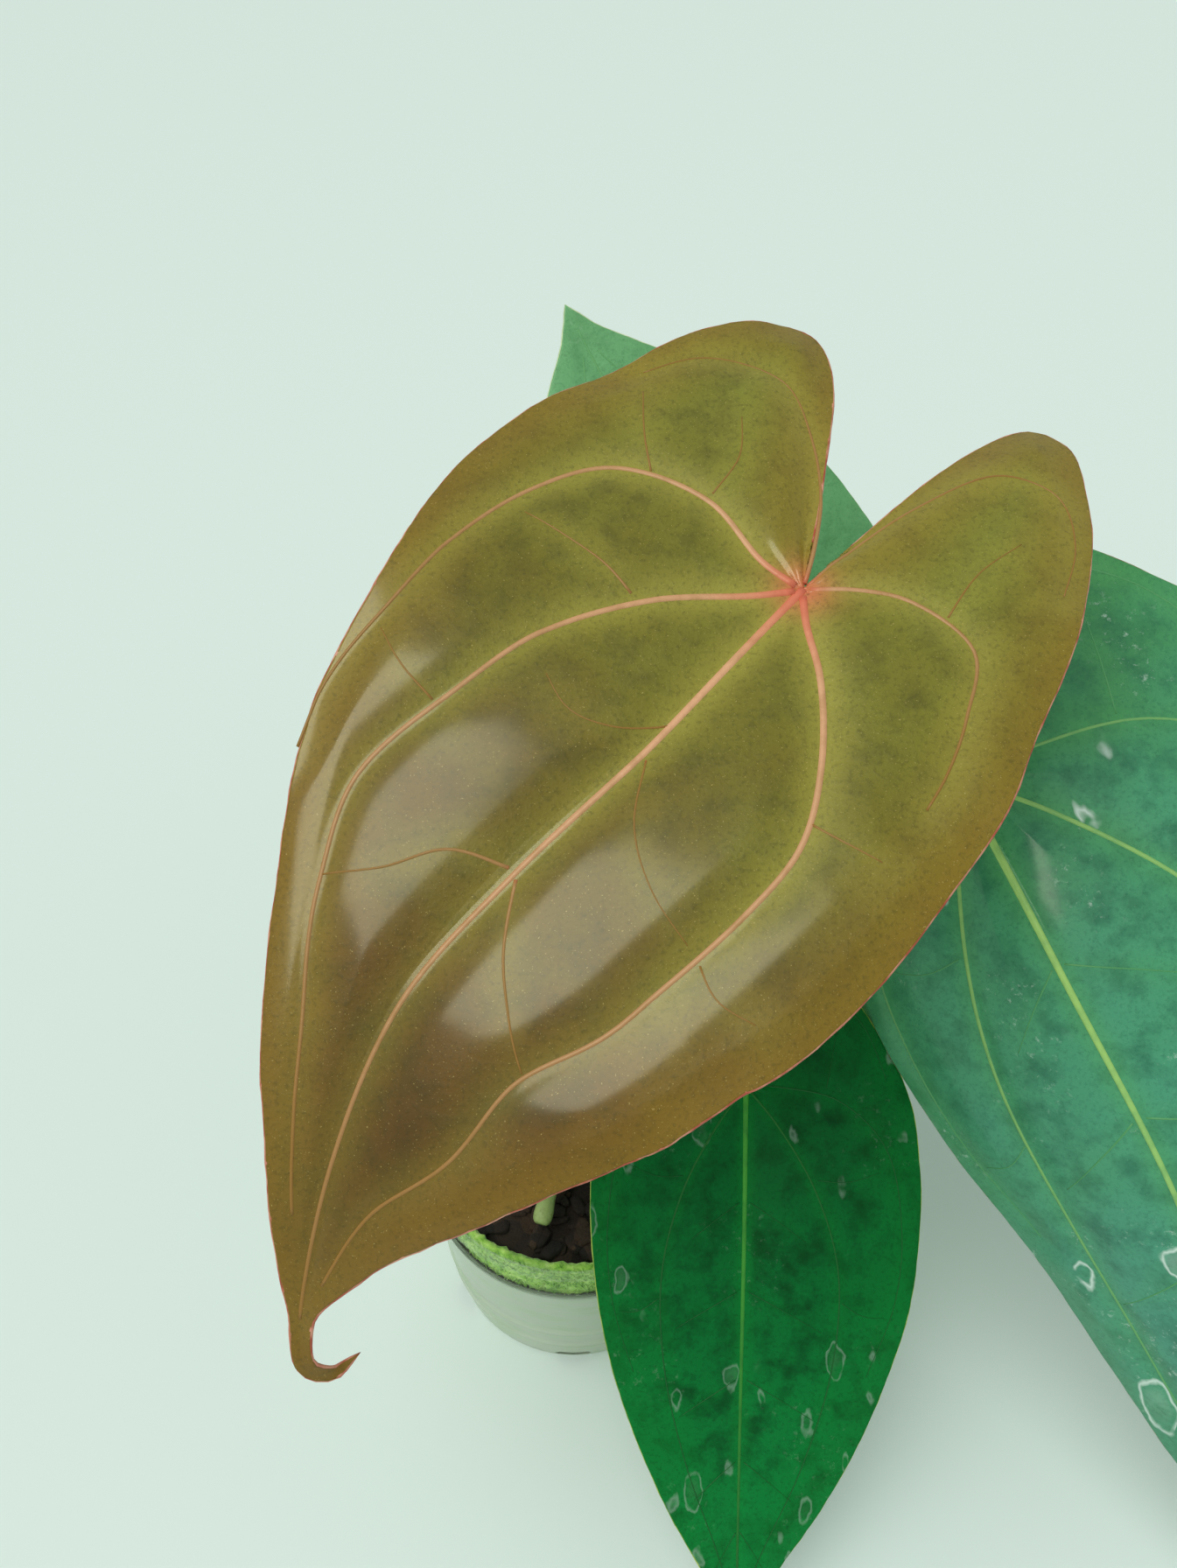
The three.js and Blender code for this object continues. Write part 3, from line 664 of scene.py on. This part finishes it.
stalkSkin = stalkMaterial()
for name, leaf in leaves.items():
    surface = surfaces[name]
    centre, up = surface.line[0], surface.up[0]
    turn = math.radians(leaf["foot"])
    foot = np.array([stalkSizes["circle"] * math.cos(turn), stalkSizes["circle"] * math.sin(turn),
                     crown + stalkSizes["foot"]])
    climb = [np.array([x, y, crown + z]) for x, y, z in leaf["stalk"]]
    path = [foot, foot + [0, 0, 5], *climb, centre - up * 8.1, centre - up * 0.2]
    joint = 6 * stalkSizes["radius"] / alongLine(smoothLine(path), [0, 1])[1]

    def stalkRadius(u, joint=joint):
        swell = stalkSizes["jointSwell"] * math.exp(-(((1 - u - joint * 0.6) / (joint * 0.5)) ** 2))
        return stalkSizes["radius"] * (1 - 0.18 * u) + 0.5 * math.exp(-u * 14) + swell

    stalk = bar(path, stalkRadius, 150, 26, "leafStalk" + name.capitalize(), stalkSkin)
    place(stalk, "petiole_" + name)
print("stalks done")


# Stem: ringed by the scars of old leaves, corky brown over green.
stemSizes = {"radius": 7.5, "ringStep": 4.0, "ringDepth": 0.6}
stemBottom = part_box("stem")[0][2] / mm


def stemMaterial():
    material, add, finish = newMaterial("stemCork")
    coords = add("TexCoord", out="Object")
    patches = add("TexNoise", {"Vector": coords, "Scale": 1 / (4 * mm), "Detail": 4, "Roughness": 0.6})
    color = add("ValToRGB", [add("MapRange", [patches, 0.3, 0.7])],
                colors=["#4f4a2a", "#6f7a3e", "#8a8a52"])
    cracks = add("TexNoise", {"Vector": coords, "Scale": 1 / (1 * mm), "Detail": 4})
    finish({"Base Color": color, "Roughness": 0.7,
            "Normal": add("Bump", {"Strength": 0.7, "Distance": 0.6 * mm, "Height": cracks})})
    return material


stemProfile = [[0, stemBottom], [stemSizes["radius"] - 2, stemBottom]]
for z in np.arange(stemBottom + 2, crown - 1, 0.5):
    groove = stemSizes["ringDepth"] * max(0, math.cos(2 * math.pi * z / stemSizes["ringStep"])) ** 6
    stemProfile.append([stemSizes["radius"] - groove, z])
stemProfile += [[stemSizes["radius"] - 0.5, crown - 0.6], [stemSizes["radius"] - 1.6, crown - 0.1],
                [0, crown]]


def stemShape(co):
    bend = 1 + math.sin(3 * math.atan2(co.y, co.x) + co.z * 300)
    return co - Vector((co.x, co.y, 0)) * 0.03 * bend


place(lathe(stemProfile, 64, "stemCore", stemMaterial(), stemShape), "stem")

# Roots: points of [out from the stem, height from the crown]; the first ends in a fat fresh knob.
roots = [
    [254.5, [2.9, -3], [11.2, -3], [18.3, -4.8], [24, -7]],
    [156, [3.3, -4.3], [13.1, -4.3], [22, -6.2], [26.5, -7.9]],
    [323, [3.3, -5], [14.7, -5.4], [23.9, -7], [28.1, -8]],
]
rootSizes = {"radius": 1.5, "knob": 3.0}


def rootMaterial():
    material, add, finish = newMaterial("aerialRootSkin")  # dull grey-green skin, fresh green at the tip
    coords = add("TexCoord", out="Object")
    run = add("Attribute", out="Fac", attribute_name="run")
    color = add("ValToRGB", [run], colors=["#7f7c4c", "#8a9a58", "#94ab62", "#a8bc74"])
    stains = add("TexNoise", {"Vector": coords, "Scale": 1 / (2 * mm), "Detail": 3})
    share = add("MapRange", [stains, 0.48, 0.7, 0, 0.5])
    color = add("Mix", {0: share, 6: color, 7: "#66703a"}, 2, data_type="RGBA")
    pores = add("TexNoise", {"Vector": coords, "Scale": 1 / (1 * mm), "Detail": 3})
    finish({"Base Color": color, "Roughness": 0.5,
            "Normal": add("Bump", {"Strength": 0.5, "Distance": 0.4 * mm, "Height": pores})})
    return material


rootSkin = rootMaterial()
for i, (degrees, *points) in enumerate(roots):
    a = math.radians(degrees)
    path = []
    for out, z in [[-1.5, points[0][1] + 0.4], *points]:
        r = stemSizes["radius"] + out
        path.append([r * math.cos(a), r * math.sin(a), crown + z])

    def rootRadius(u, knob=rootSizes["knob"] if i == 0 else 0.0):
        body = rootSizes["radius"] + knob * max(0.0, u - 0.5) + 0.06 * math.sin(u * 40)
        return body * math.sqrt(max(0.02, 1 - (max(0.0, u - 0.88) / 0.12) ** 2))

    root = bar(path, rootRadius, 60, 22, f"aerialRoot{i + 1}", rootSkin)
    place(root, f"aerial_root_{i + 1}")


# Dry sheaths of old leaves: brown papery fibre that clasps the stem.
sheathSizes = {"length": 27, "width": 9, "thickness": 0.6, "angles": (104, 176, 250)}


def sheathMaterial():
    material, add, finish = newMaterial("paperySheath")
    coords = add("TexCoord", out="Object")
    stretched = add("Mapping", {"Vector": coords, "Scale": (1, 1, 0.12)})
    fibre = add("TexNoise", {"Vector": stretched, "Scale": 1 / (0.8 * mm), "Detail": 4, "Roughness": 0.6})
    color = add("ValToRGB", [add("MapRange", [fibre, 0.3, 0.75])], colors=["#5e4a2c", "#8d7a4a", "#a99c68"])
    finish({"Base Color": color, "Roughness": 0.75,
            "Normal": add("Bump", {"Strength": 0.8, "Distance": 0.4 * mm, "Height": fibre})})
    return material


sheathSkin = sheathMaterial()
for i, degrees in enumerate(sheathSizes["angles"]):
    a = math.radians(degrees)
    out, side = np.array([math.cos(a), math.sin(a), 0]), np.array([-math.sin(a), math.cos(a), 0])
    near = stemSizes["radius"] + 1.1
    heights = [(near, -7), (near + 0.6, 0), (near + 2.4, sheathSizes["length"] * 0.4),
               (near + 7, sheathSizes["length"] - 9)]
    line = smoothLine([out * r + [0, 0, crown + z] for r, z in heights])
    rows, _ = alongLine(line, np.linspace(0, 1, 41))
    mesh = bmesh.new()
    bmesh.ops.create_grid(mesh, x_segments=24, y_segments=40, size=0.5)
    for vert in mesh.verts:
        u, v = vert.co.x * 2, vert.co.y + 0.5
        taper = max(0.0, math.cos(v * math.pi / 2)) ** 0.6
        half = sheathSizes["width"] / 2 * taper * (0.75 + 0.5 * math.sin(v * math.pi))
        curl = (half * u) ** 2 * 0.055 * (1 - v)
        fray = 0.25 * math.sin(u * 11 + v * 23 + i) * v
        vert.co = Vector((rows[round(v * 40)] + side * u * half + out * (fray - curl)) * mm)
    bmesh.ops.remove_doubles(mesh, verts=mesh.verts, dist=1e-6)
    sheath = newObject(mesh, f"drySheath{i + 1}", sheathSkin)
    skin = sheath.modifiers.new("thickness", "SOLIDIFY")
    skin.thickness = sheathSizes["thickness"] * mm
    skin.offset = 0
    place(sheath, f"cataphyll_{i + 1}")
print("stem, roots and sheaths done")


# The cup, and what fills it, share these sizes.
cupSizes = {"baseRadius": 37, "rimRadius": 44, "wall": 0.9, "floor": 1.4, "bead": 1.1,
            "ribs": (0.16, 0.3, 0.86), "ribDepth": 0.6}
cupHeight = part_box("cup")[1][2] / mm


def cupRadiusAt(z):
    return cupSizes["baseRadius"] + (cupSizes["rimRadius"] - cupSizes["baseRadius"]) * z / cupHeight


def insideRadiusAt(z):
    return cupRadiusAt(z) - cupSizes["wall"]


# Rolling lumps, the same every time.
def lump(co, size):
    x, y, z = co / size
    return math.sin(x * 1.7 + 0.3) * math.cos(y * 2.1 + z) + 0.6 * math.sin(x * 3.9 - y * 3.1 + z * 2.3) \
        + 0.4 * math.cos(y * 6.3 + x * 5.1 - z * 4.1)


def outwards(co, depth):
    flat = Vector((co.x, co.y, 0))
    return co - flat.normalized() * depth


mixSizes = {"mossDepth": 12.5, "mossWidth": 13, "cover": 2.2, "gap": 0.35, "climb": 2.4, "skin": 1.9,
            "chips": 300, "shoots": 2200}
mossTop = mixTop - mixSizes["cover"]
mossBottom = mossTop - mixSizes["mossDepth"]
mossInner = insideRadiusAt(mossTop) - mixSizes["mossWidth"]
mossCrest = mixTop + mixSizes["climb"]


def skinRadiusAt(z):
    return insideRadiusAt(z) - mixSizes["gap"]


def barkMaterial():
    material, add, finish = newMaterial("pottingBark")  # damp, nearly black bark pieces and fibre
    coords = add("TexCoord", out="Object")
    piece = add("TexVoronoi", {"Vector": coords, "Scale": 1 / (5 * mm)}, "Color")
    color = add("ValToRGB", [add("SeparateXYZ", [piece])],
                colors=["#0f0a07", "#1d140e", "#2c2018", "#453323"])
    grain = add("TexNoise", {"Vector": coords, "Scale": 1 / (0.7 * mm), "Detail": 5, "Roughness": 0.65})
    share = add("MapRange", [grain, 0.35, 0.7, 0, 0.5])
    color = add("Mix", {0: share, 6: color, 7: "#120c08"}, 2, data_type="RGBA")
    finish({"Base Color": color, "Roughness": 0.8,
            "Normal": add("Bump", {"Strength": 0.9, "Distance": 0.6 * mm, "Height": grain})})
    return material


barkSkin = barkMaterial()
mixProfile = [[0, 1.8], [skinRadiusAt(1.8), 1.8]]
mixProfile += [[skinRadiusAt(z), z] for z in np.linspace(4, mossBottom, 18)]
mixEdge = skinRadiusAt(mossTop) - mixSizes["skin"] - 0.3
mixProfile += [[mossInner, mossBottom], [mossInner, mossTop + 0.3], [mixEdge, mossTop + 0.3]]
mixProfile += [[r, mixTop - 0.9] for r in np.linspace(mixEdge, 9, 22)] + [[0, mixTop - 0.9]]


def mixShape(co):
    r = math.hypot(co.x, co.y)
    if co.z > (mixTop - 1.5) * mm:
        return co + Vector((0, 0, lump(co, 0.006) * 0.0004))
    if r > 0.03 and 0.003 < co.z < (mossBottom - 1) * mm:
        return outwards(co, 0.0003 + abs(lump(co, 0.005)) * 0.0005)
    return co


place(lathe(mixProfile, 140, "pottingMix", barkSkin, mixShape), "potting_mix")

chips = bmesh.new()  # worn blocks of bark that lie on the mix
for _ in range(mixSizes["chips"]):
    r = math.sqrt(rng.uniform((8.8 / 38) ** 2, 1)) * 38
    a = rng.uniform(0, 2 * math.pi)
    size = rng.uniform(1.4, 3.6)
    made = bmesh.ops.create_icosphere(chips, subdivisions=2, radius=1)["verts"]
    for vert in made:
        jag = 1 + 0.16 * math.sin(vert.co.x * 5 + a * 7) * math.cos(vert.co.y * 4 + r)
        vert.co = Vector([math.copysign(abs(c) ** 0.55, c) * jag for c in vert.co])
    squash = Matrix.Diagonal((size * rng.uniform(0.7, 1.2), size * rng.uniform(0.4, 0.8), size * 0.3, 1))
    spin = Matrix.Rotation(rng.uniform(0, 6.28), 4, "Z") @ Matrix.Rotation(rng.uniform(-0.35, 0.35), 4, "X")
    move = Matrix.Translation((r * math.cos(a), r * math.sin(a), mixTop - 0.4 + rng.uniform(-0.4, 0.5)))
    bmesh.ops.transform(chips, matrix=Matrix.Scale(mm, 4) @ move @ spin @ squash, verts=made)
place(newObject(chips, "barkPieces", barkSkin), "potting_mix")


# Living moss packed against the wall: bright lime tips, with painted shade as the dark tone between the
# shoots.
def mossMaterial():
    material, add, finish = newMaterial("limeMoss")
    coords = add("TexCoord", out="Object")
    tuftsAndGapShade = add("TexNoise", {"Vector": coords, "Scale": 1 / (2.6 * mm), "Detail": 5, "Roughness": 0.7})
    # The darkest tone of this ramp is painted shade for the gaps between the shoots.
    color = add("ValToRGB", [add("MapRange", [tuftsAndGapShade, 0.32, 0.68])],
                colors=["#4f8026", "#8fc848", "#b2e066", "#cff08c"])
    patches = add("TexNoise", {"Vector": coords, "Scale": 1 / (12 * mm), "Detail": 2})
    share = add("MapRange", [patches, 0.5, 0.65, 0, 0.45])
    color = add("Mix", {0: share, 6: color, 7: "#5f9238"}, 2, data_type="RGBA")
    fuzz = add("TexNoise", {"Vector": coords, "Scale": 1 / (1.2 * mm), "Detail": 4})
    finish({"Base Color": color, "Roughness": 0.9, "Sheen Weight": 0.2,
            "Normal": add("Bump", {"Strength": 1, "Distance": 0.8 * mm, "Height": fuzz})})
    return material


mossSkin = mossMaterial()
mossProfile = [[mossInner + 0.3, mossBottom + 0.3]]
mossProfile += [[skinRadiusAt(z) - 0.4, z] for z in np.linspace(mossBottom + 0.4, mossCrest - 0.5, 18)]
mossProfile += [[skinRadiusAt(mossCrest) - 1.0, mossCrest], [mixEdge + 0.3, mossCrest - 0.6],
                [mixEdge + 0.2, mossTop]]
mossProfile += [[r, mossTop] for r in np.linspace(mixEdge - 1, mossInner + 0.3, 8)]
mossProfile.append(mossProfile[0])


def mossShape(co):
    if math.hypot(co.x, co.y) < (mossInner + 1) * mm:
        return co
    return outwards(co, abs(lump(co, 0.0028)) * 0.0006)


place(lathe(mossProfile, 220, "mossCushion", mossSkin, mossShape), "moss_collar")

shoots = bmesh.new()
for _ in range(mixSizes["shoots"]):
    a = rng.uniform(0, 2 * math.pi)
    z = rng.uniform(mossBottom + 0.6, mossCrest)
    made = bmesh.ops.create_cone(shoots, cap_ends=True, segments=5, radius1=0.22, radius2=0.06,
                                 depth=rng.uniform(0.9, 2.2))["verts"]
    turn = Matrix.Rotation(a, 4, "Z") @ Matrix.Rotation(rng.uniform(-0.9, 0.9), 4, "X")
    turn = turn @ Matrix.Rotation(rng.uniform(-0.25, 0.1), 4, "Y")
    out = skinRadiusAt(z) - 0.65
    move = Matrix.Translation((math.cos(a) * out, math.sin(a) * out, z))
    bmesh.ops.transform(shoots, matrix=Matrix.Scale(mm, 4) @ move @ turn, verts=made)
place(newObject(shoots, "mossShoots", mossSkin), "moss_collar")
print("potting mix and moss done")


# Thin clear plastic, thermoformed: clear at the moss, clouded white by dried water lower down.
def cupMaterial():
    material, add, finish = newMaterial("clearPlastic")
    coords = add("TexCoord", out="Object")
    height = add("SeparateXYZ", [coords], "Z")
    streaks = add("Mapping", {"Vector": coords, "Scale": (1, 1, 4)})
    cloudy = add("TexNoise", {"Vector": streaks, "Scale": 1 / (20 * mm), "Detail": 5, "Roughness": 0.65})
    low = add("MapRange", [height, (mossBottom + 0.6) * mm, (mossBottom + 3.2) * mm, 1, 0])
    veil = add("Math", [low, add("MapRange", [cloudy, 0.35, 0.65, 0.66, 0.86])], operation="MULTIPLY")
    bead = add("MapRange", [height, (cupHeight - 2.6) * mm, (cupHeight - 1.6) * mm, 0, 0.12])
    # Painted reflection: the whitish film thickens towards grazing angles, standing in for the plastic's
    # shine at its edges.
    paintedGrazingReflection = add("Math", [add("LayerWeight", {"Blend": 0.25}, "Facing"), 4], operation="POWER")
    paintedGrazingReflection = add("Math", [paintedGrazingReflection, 0.12], operation="MULTIPLY")
    alpha = add("Math", [add("Math", [add("Math", [veil, bead]), paintedGrazingReflection]), 0.025])
    share = add("MapRange", [cloudy, 0.4, 0.65])
    color = add("Mix", {0: share, 6: "#d6e2cc", 7: "#b6caa8"}, 2, data_type="RGBA")
    finish({"Base Color": color, "Roughness": 0.22, "Specular IOR Level": 0.6,
            "Alpha": add("Clamp", {"Value": alpha, "Max": 0.95})})
    return material


bead = cupSizes["bead"]
rimRadius = cupSizes["rimRadius"]
baseRadius = cupSizes["baseRadius"]
cupProfile = [[0, 0], [baseRadius - 1, 0], [baseRadius - 0.3, 0.3], [baseRadius, 1]]
for z in np.arange(2, cupHeight - 3, 0.5):
    ribs = sum(cupSizes["ribDepth"] * math.exp(-(z - share * cupHeight) ** 2) for share in cupSizes["ribs"])
    cupProfile.append([cupRadiusAt(z) + ribs, z])
cupProfile += [[rimRadius + bead * out, cupHeight - down]
               for out, down in ((0.6, 2.7), (1, 2.1), (1, 0.9), (0.6, 0.2), (0, 0))]
cupProfile.append([rimRadius - cupSizes["wall"], cupHeight - 0.2])
cupProfile += [[insideRadiusAt(z), z] for z in np.linspace(cupHeight - 1, cupSizes["floor"] + 0.5, 40)]
cupProfile += [[insideRadiusAt(0) - 1, cupSizes["floor"]], [0, cupSizes["floor"]]]
cup = lathe(cupProfile, 160, "clearCup", cupMaterial())

# Six drain slots are cut through the base's edge.
drain = {"count": 6, "radius": 1.6, "length": 7, "height": 2.16}
slots = bmesh.new()
for i in range(drain["count"]):
    made = bmesh.ops.create_uvsphere(slots, u_segments=20, v_segments=12, radius=drain["radius"])["verts"]
    for vert in made:
        vert.co.z += math.copysign(drain["length"] / 2, vert.co.z) if abs(vert.co.z) > 1e-6 else 0
    lay = Matrix.Rotation(math.pi / 2, 4, "X")
    move = Matrix.Translation((baseRadius - 1, 0, drain["height"]))
    turn = Matrix.Rotation(2 * math.pi * (i + 0.5) / drain["count"], 4, "Z")
    bmesh.ops.transform(slots, matrix=Matrix.Scale(mm, 4) @ turn @ move @ lay, verts=made)
cutter = newObject(slots, "drainCutter", cup.data.materials[0])
cut = cup.modifiers.new("drains", "BOOLEAN")
cut.object = cutter
cut.solver = "EXACT"
cutMesh = bpy.data.meshes.new_from_object(cup.evaluated_get(bpy.context.evaluated_depsgraph_get()))
cup.modifiers.remove(cut)
cup.data = cutMesh
bpy.data.objects.remove(cutter)
place(cup, "cup")
print("cup done")


# Plain pale floor, a broad soft light overhead and a window at the front left that the leaves mirror.
floorMesh = bmesh.new()
bmesh.ops.create_grid(floorMesh, x_segments=1, y_segments=1, size=6)
floorSkin, _, finishFloor = newMaterial("paleTable")
finishFloor({"Base Color": "#e4f1ea", "Roughness": 0.6})
newObject(floorMesh, "floor", floorSkin)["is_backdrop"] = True

lightSizes = {"sunAngle": 50, "sunPower": 1.55, "windowSize": (0.34, 0.44), "windowPower": 4.8, "sky": 0.56}


def aimLight(light, position, target):
    obj = bpy.data.objects.new(light.name, light)
    obj.location = position
    obj.rotation_euler = (Vector(target) - Vector(position)).to_track_quat("-Z", "Y").to_euler()
    obj.visible_camera = False
    bpy.context.scene.collection.objects.link(obj)
    return obj


sun = bpy.data.lights.new("softOverhead", "SUN")
sun.angle = math.radians(lightSizes["sunAngle"])
sun.energy = lightSizes["sunPower"]
aimLight(sun, (-0.35, -0.3, 0.95), (0, 0, 0.1)).visible_glossy = False
window = bpy.data.lights.new("window", "AREA")
window.shape = "RECTANGLE"
window.color = toLinear("#f6f5dc")[:3]
window.size, window.size_y = lightSizes["windowSize"]
window.energy = lightSizes["windowPower"]
aimLight(window, (-0.25, -0.33, 0.85), (-0.005, -0.045, 0.21)).visible_diffuse = False
sky = bpy.data.worlds.new("softSky")
sky.use_nodes = True
background = next(n for n in sky.node_tree.nodes if n.type == "BACKGROUND")
background.inputs["Color"].default_value = toLinear("#e8f3ee")
background.inputs["Strength"].default_value = lightSizes["sky"]
bpy.context.scene.world = sky

view = {"pitch": 40.0, "position": (0.0044, -0.1953, 0.3535), "lens": 27.08}
lens = bpy.data.cameras.new("camera")
lens.lens = view["lens"]
lens.sensor_width = 36
lens.clip_start = 0.01
camera = bpy.data.objects.new("camera", lens)
camera.location = view["position"]
camera.rotation_euler = (math.radians(90 - view["pitch"]), 0, 0)
bpy.context.scene.collection.objects.link(camera)
bpy.context.scene.camera = camera
bpy.context.scene.view_settings.view_transform = "Standard"

boxes = {key: [list(corner) for corner in box] for key, box in (("cad", cadBox), ("visual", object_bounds()))}
print("scene done", boxes)
